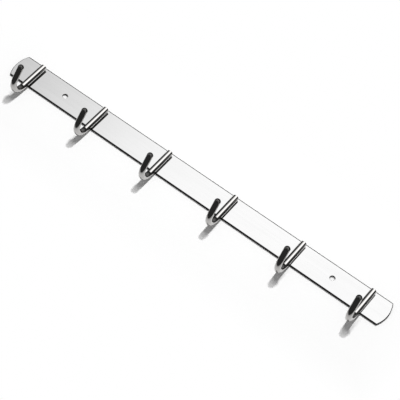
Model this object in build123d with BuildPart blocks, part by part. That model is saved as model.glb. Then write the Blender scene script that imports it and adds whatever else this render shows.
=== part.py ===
"""Wall-mounted hat rack: a flat stainless rail that carries a row of round-rod J hooks.

Millimetres, +Z up. The rail runs along X and its back face lies on the wall, at y = 0.
The hooks stand out towards -Y. The origin is the centre of the rail's back face.
"""
import os

from build123d import *

os.makedirs("parts", exist_ok=True)

# Rail: a flat strip with straight long edges and gently bowed ends
rail_height = 30.0
rail_thickness = 2.0
corner_span = 449.5       # from corner to corner, along the long edges
end_bow = 3.8             # how far each end bows out past its corners
corner_round = 1.1        # blunts the four corners, seen from the front
front_rim_round = 0.8     # where punching and polishing have rolled the front rim over
back_rim_chamfer = 0.25   # breaks the sharp rim of the back

# Screw holes, on the rail's centre line
screw_hole_diameter = 5.5
screw_hole_spacing = 329.2
screw_hole_edge_break = 0.25

# Hooks: one length of round rod each, bent to a J and welded to the rail's front
hook_count = 6
hook_pitch = 81.3
rod_diameter = 6.4
weld_flat_depth = 0.1     # how far the rod's round back is flattened where it is welded
leg_top_inset = 2.2       # from the rail's upper edge down to the leg's cut end
leg_drop = 4.8            # straight rod between the rail's lower edge and the bend
bend_radius = 14.2        # to the rod's centre line
arm_lean = 50.7           # degrees, from upright, away from the wall
arm_length = 12.0         # straight rod from the bend to where its tip starts to round
cut_end_chamfer = 0.4

# Places that follow from the sizes above
rail_front = -rail_thickness
rail_top = rail_height / 2
rail_bottom = -rail_height / 2
rod_radius = rod_diameter / 2
leg_axis = rail_front - rod_radius + weld_flat_depth
leg_top = rail_top - leg_top_inset
bend_top = rail_bottom - leg_drop
bend_turn = 180 - arm_lean
first_hook = -hook_pitch * (hook_count - 1) / 2


# Rail
with BuildPart() as back_plate:
    # The front view of the strip, pulled forward from the wall by its thickness
    with BuildSketch(Plane.XZ) as outline:
        with BuildLine():
            upper = Line((-corner_span / 2, rail_top), (corner_span / 2, rail_top))
            lower = Line((-corner_span / 2, rail_bottom), (corner_span / 2, rail_bottom))
            SagittaArc(upper @ 0, lower @ 0, -end_bow)
            SagittaArc(upper @ 1, lower @ 1, end_bow)
        make_face()
        fillet(outline.vertices(), corner_round)
    extrude(amount=rail_thickness)
    fillet(back_plate.faces().sort_by(Axis.Y)[0].edges(), front_rim_round)
    chamfer(back_plate.faces().sort_by(Axis.Y)[-1].edges(), back_rim_chamfer)

    # Two plain through holes, with their rims broken on both faces
    with Locations(back_plate.faces().sort_by(Axis.Y)[0]):
        with GridLocations(screw_hole_spacing, 0, 2, 1):
            Hole(screw_hole_diameter / 2)
    hole_rims = back_plate.edges().filter_by(GeomType.CIRCLE).filter_by(
        lambda rim: abs(rim.radius - screw_hole_diameter / 2) < 1e-6
    )
    chamfer(hole_rims, screw_hole_edge_break)

back_plate.part.label = "back_plate"
export_step(back_plate.part, "parts/back_plate.step")


# Hooks
def make_hook(label, across):
    """One J hook whose leg lies on the rail's front, at this distance along the rail."""
    side = Plane.YZ.offset(across)
    with BuildPart() as hook:
        with BuildLine(side) as bent_rod:
            leg = Line((leg_axis, leg_top), (leg_axis, bend_top))
            bend = JernArc(leg @ 1, leg % 1, bend_radius, -bend_turn)
            arm = PolarLine(bend @ 1, arm_length, direction=bend % 1)
        with BuildSketch(Plane(origin=leg @ 0, z_dir=leg % 0)):
            Circle(rod_radius)
        sweep(path=bent_rod.wires()[0])

        # The leg's end is cut square, with its rim broken
        chamfer(hook.faces().sort_by(Axis.Z)[-1].edges(), cut_end_chamfer)

        # The free end is a dome, turned about the arm's own line
        with BuildSketch(Plane(arm @ 1, x_dir=arm % 1, z_dir=side.z_dir)):
            with BuildLine():
                along_arm = Line((0, 0), (rod_radius, 0))
                dome = CenterArc((0, 0), rod_radius, 0, 90)
                Line(dome @ 1, along_arm @ 0)
            make_face()
        revolve(axis=Axis(arm @ 1, arm % 1))

        # The rod gives way to the rail, which leaves the flat that is welded to it
        with Locations((across, rail_front, 0)):
            Box(
                rod_diameter,
                rail_thickness,
                rail_height,
                align=(Align.CENTER, Align.MIN, Align.CENTER),
                mode=Mode.SUBTRACT,
            )

    hook.part.label = label
    return hook.part


for number in range(1, hook_count + 1):
    hook = make_hook(f"hook_{number}", first_hook + (number - 1) * hook_pitch)
    export_step(hook, f"parts/{hook.label}.step")
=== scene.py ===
# Hat rack: a satin steel rail with six polished J hooks, lying on a pale sweep.
# In metres. The rail's length is X, its back lies on y = 0 and the hooks stand out towards -Y.
import math

import bpy
from mathutils import Matrix, Vector

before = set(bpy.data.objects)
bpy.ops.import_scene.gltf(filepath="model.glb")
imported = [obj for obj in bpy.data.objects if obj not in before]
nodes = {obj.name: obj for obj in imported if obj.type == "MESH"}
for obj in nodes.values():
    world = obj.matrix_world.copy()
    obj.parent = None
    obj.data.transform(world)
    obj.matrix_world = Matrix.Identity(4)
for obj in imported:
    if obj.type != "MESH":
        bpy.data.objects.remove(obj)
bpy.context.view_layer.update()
hookNames = sorted(name for name in nodes if name.startswith("hook_"))
print("frame loaded:", len(nodes), "nodes")


# Small helpers for shader nodes
def newMaterial(name):
    material = bpy.data.materials.new(name)
    material.use_nodes = True
    tree = material.node_tree
    tree.nodes.clear()
    output = tree.nodes.new("ShaderNodeOutputMaterial")
    return material, tree, output


def addNode(tree, kind, inputs=None, **settings):
    node = tree.nodes.new(kind)
    for key, value in settings.items():
        setattr(node, key, value)
    for key, value in (inputs or {}).items():
        if isinstance(value, bpy.types.NodeSocket):
            tree.links.new(value, node.inputs[key])
        else:
            node.inputs[key].default_value = value
    return node


def absolute(tree, value):
    return addNode(tree, "ShaderNodeMath", {0: value}, operation="ABSOLUTE").outputs[0]


def combine(tree, operation, first, *others):
    # Works through the values in turn, as a sum does
    for other in others:
        node = addNode(tree, "ShaderNodeMath", {0: first, 1: other}, operation=operation)
        first = node.outputs[0]
    return first


def fade(tree, value, span, start=0.0, end=1.0):
    # Goes from start to end while the value crosses the span, and stays level outside it
    inputs = {
        "Value": value,
        "From Min": span[0],
        "From Max": span[1],
        "To Min": start,
        "To Max": end,
    }
    return addNode(tree, "ShaderNodeMapRange", inputs).outputs["Result"]


def mixColour(tree, factor, first, second):
    # The mix node has sockets of several types, so the colours are told by theirs
    node = addNode(tree, "ShaderNodeMix", {0: factor}, data_type="RGBA")
    sockets = [socket for socket in node.inputs if socket.type == "RGBA"]
    for socket, value in zip(sockets, (first, second)):
        if isinstance(value, bpy.types.NodeSocket):
            tree.links.new(value, socket)
        else:
            socket.default_value = value
    return next(socket for socket in node.outputs if socket.type == "RGBA")


def mixShader(tree, factor, first, second):
    return addNode(tree, "ShaderNodeMixShader", {0: factor, 1: first, 2: second}).outputs[0]


def grey(level, warmth=0.0):
    return (level * (1 + warmth), level, level * (1 - warmth), 1.0)


def grain(tree, stretch, scale, detail, roughness=0.6):
    # Noise, drawn out along each axis whose stretch is below 1, as polishing leaves it
    coords = addNode(tree, "ShaderNodeTexCoord").outputs["Object"]
    drawnOut = addNode(tree, "ShaderNodeMapping", {"Vector": coords, "Scale": stretch}).outputs[0]
    inputs = {"Vector": drawnOut, "Scale": scale, "Detail": detail, "Roughness": roughness}
    return addNode(tree, "ShaderNodeTexNoise", inputs).outputs["Fac"]


def polishedMetal(tree, output, finish, lines, colour, roughness):
    # Bare metal, with the polish's lines as a very low bump
    bump = addNode(
        tree, "ShaderNodeBump",
        {"Height": lines, "Strength": finish["bumpStrength"], "Distance": finish["bumpHeight"]}
    )
    steel = addNode(
        tree, "ShaderNodeBsdfPrincipled",
        {"Base Color": colour, "Metallic": 1.0, "Roughness": roughness, "Normal": bump.outputs[0]}
    )
    tree.links.new(steel.outputs[0], output.inputs["Surface"])


# Rail: satin polished along its length, with painted shade on its rims, near black, and a plain steel
# upper side
railFinish = {
    "tone": 0.55,
    "mottle": (0.955, 1.03),  # how far the polish's lines and clouds take the tone
    "roughness": (0.04, 0.08),
    "lines": {"stretch": (0.02, 1.0, 1.0), "scale": 450.0, "detail": 3.0},
    "clouds": {"stretch": (0.5, 1.0, 1.0), "scale": 28.0, "detail": 4.0},
    "shares": (0.6, 0.4),  # of the lines and of the clouds, in the mottle and the roughness
    "noiseSpan": (0.3, 0.7),  # the noise at which both have their first value, and their last
    "bumpStrength": 0.35,
    "bumpHeight": 0.0000012,
    "flat": (0.98, 0.998),  # the face's colour gives way to the painted rim shade where the rims turn away from the front and back
    "longEdge": (0.0138, 0.0140),  # and, in front, to a painted shade line just short of the long edges
    "frontToBack": (-0.5, 0.5),  # between the way the front faces, -1, and the back, 1
    # Painted shade: the near-black rims, in the holes too, stand in for dark reflections and shadow
    "rimPaintedShadeTone": 0.02,
    "rimWarmth": 0.02,
    "rimRoughness": 0.25,
    "upperSideTone": 0.6,
    "facingUp": (0.8, 0.92),  # how far up a rim has to face to keep plain steel rather than the painted shade
}


def railSteel():
    material, tree, output = newMaterial("satin_rail_steel")
    lines = grain(tree, **railFinish["lines"])
    clouds = grain(tree, **railFinish["clouds"])
    lineShare, cloudShare = railFinish["shares"]
    polish = combine(
        tree, "ADD",
        combine(tree, "MULTIPLY", lines, lineShare), combine(tree, "MULTIPLY", clouds, cloudShare)
    )

    # Polished face or painted rim shade, from the way the steel faces and how far off the middle it
    # lies
    coords = addNode(tree, "ShaderNodeTexCoord").outputs
    facing = addNode(tree, "ShaderNodeSeparateXYZ", {0: coords["Normal"]}).outputs
    place = addNode(tree, "ShaderNodeSeparateXYZ", {0: coords["Object"]}).outputs
    isFlat = fade(tree, absolute(tree, facing["Y"]), railFinish["flat"])
    clearOfEdgeShadeLine = fade(tree, absolute(tree, place["Z"]), railFinish["longEdge"], 1.0, 0.0)
    isBack = fade(tree, facing["Y"], railFinish["frontToBack"])
    faceOutsidePaintedShade = combine(tree, "MINIMUM", isFlat, combine(tree, "MAXIMUM", clearOfEdgeShadeLine, isBack))

    faceRoughness = fade(tree, polish, railFinish["noiseSpan"], *railFinish["roughness"])
    rimRoughness = fade(tree, faceOutsidePaintedShade, (0.0, 1.0), railFinish["rimRoughness"], 0.0)
    roughness = combine(tree, "MAXIMUM", faceRoughness, rimRoughness)

    darkest, lightest = (grey(railFinish["tone"] * share) for share in railFinish["mottle"])
    faceColour = mixColour(tree, fade(tree, polish, railFinish["noiseSpan"]), darkest, lightest)
    rimColourWithPaintedShade = mixColour(
        tree, fade(tree, facing["Z"], railFinish["facingUp"]),
        grey(railFinish["rimPaintedShadeTone"], railFinish["rimWarmth"]),
        grey(railFinish["upperSideTone"], railFinish["rimWarmth"])
    )
    colour = mixColour(tree, faceOutsidePaintedShade, rimColourWithPaintedShade, faceColour)
    polishedMetal(tree, output, railFinish, lines, colour, roughness)
    return material


# Hooks: round rod, polished, with their tips ground rougher and painted darker as shade
rodFinish = {
    "tone": 0.44,
    "mottle": (0.97, 1.02),  # how far the handled patches take the tone
    "warmth": (0.025, 0.015),
    "toneSpan": (0.3, 0.7),  # the noise at which both have their first value, and their last
    "roughness": (0.035, 0.075),
    "roughnessSpan": (0.35, 0.65),
    "lines": {"stretch": (1.0, 0.06, 0.06), "scale": 700.0, "detail": 2.0},
    "patches": {"stretch": (1.0, 1.0, 1.0), "scale": 90.0, "detail": 3.0},
    "bumpStrength": 0.25,
    "bumpHeight": 0.000001,
    "armLean": 50.7,  # degrees from upright, as the arms are bent
    "tip": (0.0141, 0.0153),  # along the arm's direction, where its rougher, painted-dark tip starts and is full
    # Painted shade: the tips' dark tone stands in for the dark reflection on them; the grinding makes
    # them rougher
    "tipPaintedShadeTone": 0.10,
    "tipWarmth": 0.02,
    "tipRoughness": 0.28,
}


def rodSteel():
    material, tree, output = newMaterial("polished_rod_steel")
    lines = grain(tree, **rodFinish["lines"])
    patches = grain(tree, **rodFinish["patches"])

    lean = math.radians(rodFinish["armLean"])
    coords = addNode(tree, "ShaderNodeTexCoord").outputs["Object"]
    alongArm = addNode(
        tree, "ShaderNodeVectorMath",
        {0: coords, 1: (0.0, -math.sin(lean), math.cos(lean))}, operation="DOT_PRODUCT"
    ).outputs["Value"]
    groundTipWithPaintedShade = fade(tree, alongArm, rodFinish["tip"])

    polished = fade(tree, patches, rodFinish["roughnessSpan"], *rodFinish["roughness"])
    tipRoughness = combine(tree, "MULTIPLY", groundTipWithPaintedShade, rodFinish["tipRoughness"])
    roughness = combine(tree, "MAXIMUM", polished, tipRoughness)

    darkest, lightest = (
        grey(rodFinish["tone"] * share, warmth)
        for share, warmth in zip(rodFinish["mottle"], rodFinish["warmth"])
    )
    rodColour = mixColour(tree, fade(tree, patches, rodFinish["toneSpan"]), darkest, lightest)
    tipPaintedShadeColour = grey(rodFinish["tipPaintedShadeTone"], rodFinish["tipWarmth"])
    colour = mixColour(tree, groundTipWithPaintedShade, rodColour, tipPaintedShadeColour)
    polishedMetal(tree, output, rodFinish, lines, colour, roughness)
    return material


def dress(node, material):
    node.data.materials.clear()
    node.data.materials.append(material)


dress(nodes["back_plate"], railSteel())
rodMaterial = rodSteel()
for name in hookNames:
    dress(nodes[name], rodMaterial)
print("rail and", len(hookNames), "hooks dressed")


# Sweep: the pale paper that the rack lies on, open from behind
sweep = {
    "size": 2.4,
    "behind": 0.0003,  # its distance from the rail's back
    "tone": 0.85,
    # Off the rail's line and past its ends the camera sees the paper fade into plain white
    "offLine": (0.062, 0.10),
    "pastEnds": (0.23, 0.27),  # from the rail's middle
    "touch": 0.0006,  # rays shorter than this, from the rail's own back, pass through it
    "underRail": 0.0145,  # up to here from the rail's line
    "mirrored": (0.025, 0.085),  # how far from the steel its own reflection of the paper fades
}


def sweepPaper():
    material, tree, output = newMaterial("pale_sweep_paper")
    paper = addNode(tree, "ShaderNodeBsdfDiffuse", {"Color": grey(sweep["tone"])}).outputs[0]
    clear = addNode(tree, "ShaderNodeBsdfTransparent").outputs[0]
    white = addNode(tree, "ShaderNodeEmission", {"Color": grey(1.0), "Strength": 1.0}).outputs[0]
    path = addNode(tree, "ShaderNodeLightPath").outputs
    geometry = addNode(tree, "ShaderNodeNewGeometry").outputs
    place = addNode(tree, "ShaderNodeSeparateXYZ", {0: geometry["Position"]}).outputs
    offLine = absolute(tree, place["Z"])
    offMiddle = absolute(tree, place["X"])

    # Near the rack the camera sees the paper with its shadows
    away = combine(
        tree, "MAXIMUM",
        fade(tree, offLine, sweep["offLine"]), fade(tree, offMiddle, sweep["pastEnds"])
    )
    plain = combine(tree, "MULTIPLY", away, path["Is Camera Ray"])
    seen = mixShader(tree, plain, paper, white)

    underRail = combine(tree, "LESS_THAN", offLine, sweep["underRail"])
    touching = combine(tree, "LESS_THAN", path["Ray Length"], sweep["touch"])
    touched = combine(tree, "MULTIPLY", underRail, touching)
    farOff = combine(tree, "MAXIMUM", away, fade(tree, path["Ray Length"], sweep["mirrored"]))
    unmirrored = combine(tree, "MULTIPLY", farOff, path["Is Glossy Ray"])
    openings = combine(tree, "MAXIMUM", geometry["Backfacing"], touched, unmirrored)
    tree.links.new(mixShader(tree, openings, seen, clear), output.inputs["Surface"])
    return material


def laySweep():
    half = sweep["size"] / 2
    corners = [(-half, -half), (half, -half), (half, half), (-half, half)]
    mesh = bpy.data.meshes.new("sweep")
    mesh.from_pydata([(x, sweep["behind"], z) for x, z in corners], [], [(0, 1, 2, 3)])
    mesh.materials.append(sweepPaper())
    sweepObject = bpy.data.objects.new("sweep", mesh)
    bpy.context.scene.collection.objects.link(sweepObject)


laySweep()
print("sweep laid")


# Lamps: a small key, and a tall strip under it that makes the shadows fade towards their ends
lamps = {
    "key": {"place": (-0.005, -1.8, 0.675), "size": (0.11, 0.09), "watts": 18.4},
    "strip": {"place": (-0.005, -1.8, 0.215), "size": (0.11, 0.83), "watts": 14.2},
}


def hangLamp(name):
    lamp = lamps[name]
    data = bpy.data.lights.new(name, "AREA")
    data.shape = "RECTANGLE"
    data.size, data.size_y = lamp["size"]
    data.energy = lamp["watts"]
    hung = bpy.data.objects.new(name, data)
    bpy.context.scene.collection.objects.link(hung)
    hung.location = lamp["place"]
    hung.rotation_euler = (-Vector(lamp["place"])).to_track_quat("-Z", "Y").to_euler()
    hung.visible_camera = False
    hung.visible_glossy = False  # the steel mirrors the room's soft light instead


for name in lamps:
    hangLamp(name)
print(len(lamps), "lamps hung")


# Room: white to the camera, and for the steel to mirror a broad soft light in front of the rack,
# with grey walls round it. Its places are the X, Y or Z of a direction, from -1 to 1.
room = {
    "fill": 0.30,  # how brightly it lights the paper
    "dark": 0.04,  # its level where there is no light or wall, for the dark lines of the rods
    # The soft light, and its share at each angle, in degrees to the right of straight ahead
    "light": 2.6,
    "lightAcross": (
        (-52, 0.0), (-40, 0.17), (-27.5, 0.41), (-24.5, 0.52), (-21.5, 0.63), (-18, 0.66),
        (-9, 0.66), (0, 0.96), (22, 1.0), (48, 0.0)
    ),
    "highRim": (0.545, 0.63),
    "lowRim": (0.1, 0.32),
    "belowRim": 0.10,  # what is left of it from its lower rim down to the floor
    "floorRim": (-0.6, -0.4),
    # The wall in front, from its level at the skirt to its level at the gap, its lower and upper rims
    "front": (0.45, 0.95),
    "skirt": (-0.57, -0.47),
    "gap": (0.33, 0.43),
    "frontEnds": (-0.3, -0.03),
    "dipPlace": -0.12,  # it is darkest a little left of the middle
    "dipReach": 0.5,
    "dip": (0.7, 1.15),
    # The wall behind, and the ceiling
    "behind": (0.35, 1.0),
    "behindHeight": (-0.7, 0.5),
    "behindFrom": (0.35, 0.6),
    "ceiling": 0.2,
    "ceilingFrom": (0.75, 0.95),
}


def softLight(tree, towards):
    ahead = combine(tree, "MULTIPLY", towards["Y"], -1.0)
    angle = combine(tree, "ARCTAN2", towards["X"], ahead)
    turn = fade(tree, angle, (-math.pi, math.pi))
    ramp = addNode(tree, "ShaderNodeValToRGB", {0: turn})
    stops = ramp.color_ramp.elements
    for number, (degrees, level) in enumerate(room["lightAcross"]):
        place = (degrees + 180) / 360
        # A new ramp has two stops already
        stop = stops[number] if number < len(stops) else stops.new(place)
        stop.position = place
        stop.color = grey(level)
    overRim = fade(tree, towards["Z"], room["lowRim"], room["belowRim"], 1.0)
    overFloor = fade(tree, towards["Z"], room["floorRim"])
    underTop = fade(tree, towards["Z"], room["highRim"], 1.0, 0.0)
    shape = combine(tree, "MULTIPLY", overRim, overFloor, underTop, ramp.outputs[0])
    return combine(tree, "ADD", combine(tree, "MULTIPLY", shape, room["light"]), room["dark"])


def frontWall(tree, towards):
    inFront = fade(tree, towards["Y"], room["frontEnds"], 1.0, 0.0)
    overSkirt = fade(tree, towards["Z"], room["skirt"])
    underGap = fade(tree, towards["Z"], room["gap"], 1.0, 0.0)
    tone = fade(tree, towards["Z"], (room["skirt"][0], room["gap"][1]), *room["front"])
    offDip = absolute(tree, combine(tree, "SUBTRACT", towards["X"], room["dipPlace"]))
    dip = fade(tree, offDip, (0.0, room["dipReach"]), *room["dip"])
    return combine(tree, "MULTIPLY", inFront, overSkirt, underGap, tone, dip)


def wallBehind(tree, towards):
    tone = fade(tree, towards["Z"], room["behindHeight"], *room["behind"])
    return combine(tree, "MULTIPLY", fade(tree, towards["Y"], room["behindFrom"]), tone)


def background(tree, strength):
    return addNode(
        tree, "ShaderNodeBackground", {"Color": grey(1.0), "Strength": strength}
    ).outputs[0]


def buildRoom():
    world = bpy.data.worlds.new("studio_room")
    bpy.context.scene.world = world
    world.use_nodes = True
    tree = world.node_tree
    tree.nodes.clear()
    direction = addNode(tree, "ShaderNodeTexCoord").outputs["Generated"]
    towards = addNode(tree, "ShaderNodeSeparateXYZ", {0: direction}).outputs
    ceiling = fade(tree, towards["Z"], room["ceilingFrom"], 0.0, room["ceiling"])
    mirrored = combine(
        tree, "MAXIMUM",
        softLight(tree, towards), frontWall(tree, towards), wallBehind(tree, towards), ceiling
    )
    path = addNode(tree, "ShaderNodeLightPath").outputs
    lit = mixShader(
        tree, path["Is Glossy Ray"], background(tree, room["fill"]), background(tree, mirrored)
    )
    seen = mixShader(tree, path["Is Camera Ray"], lit, background(tree, 1.0))
    output = addNode(tree, "ShaderNodeOutputWorld")
    tree.links.new(seen, output.inputs["Surface"])


buildRoom()
print("room built")


# Camera: below the rack and to its right, rolled so that the rail runs down to the right
view = {
    "place": (0.43994, -1.26099, -0.76563),
    "aim": (0.01423, 0.0, -0.01009),
    "roll": 43.823,  # degrees
    "lens": 141.69,  # millimetres, as the sensor
    "sensor": 36.0,
    "nearest": 0.01,
}


def placeCamera():
    data = bpy.data.cameras.new("camera")
    data.sensor_width = view["sensor"]
    data.lens = view["lens"]
    data.clip_start = view["nearest"]
    camera = bpy.data.objects.new("camera", data)
    bpy.context.scene.collection.objects.link(camera)
    place = Vector(view["place"])
    forward = (Vector(view["aim"]) - place).normalized()
    right = forward.cross(Vector((0, 0, 1))).normalized()
    up = right.cross(forward)
    turn = math.radians(view["roll"])
    rolledRight = math.cos(turn) * right + math.sin(turn) * up
    rolledUp = -math.sin(turn) * right + math.cos(turn) * up
    pose = Matrix((rolledRight, rolledUp, -forward)).transposed().to_4x4()
    pose.translation = place
    camera.matrix_world = pose
    bpy.context.scene.camera = camera


placeCamera()
bpy.context.scene.view_settings.view_transform = "Standard"
print("camera placed")
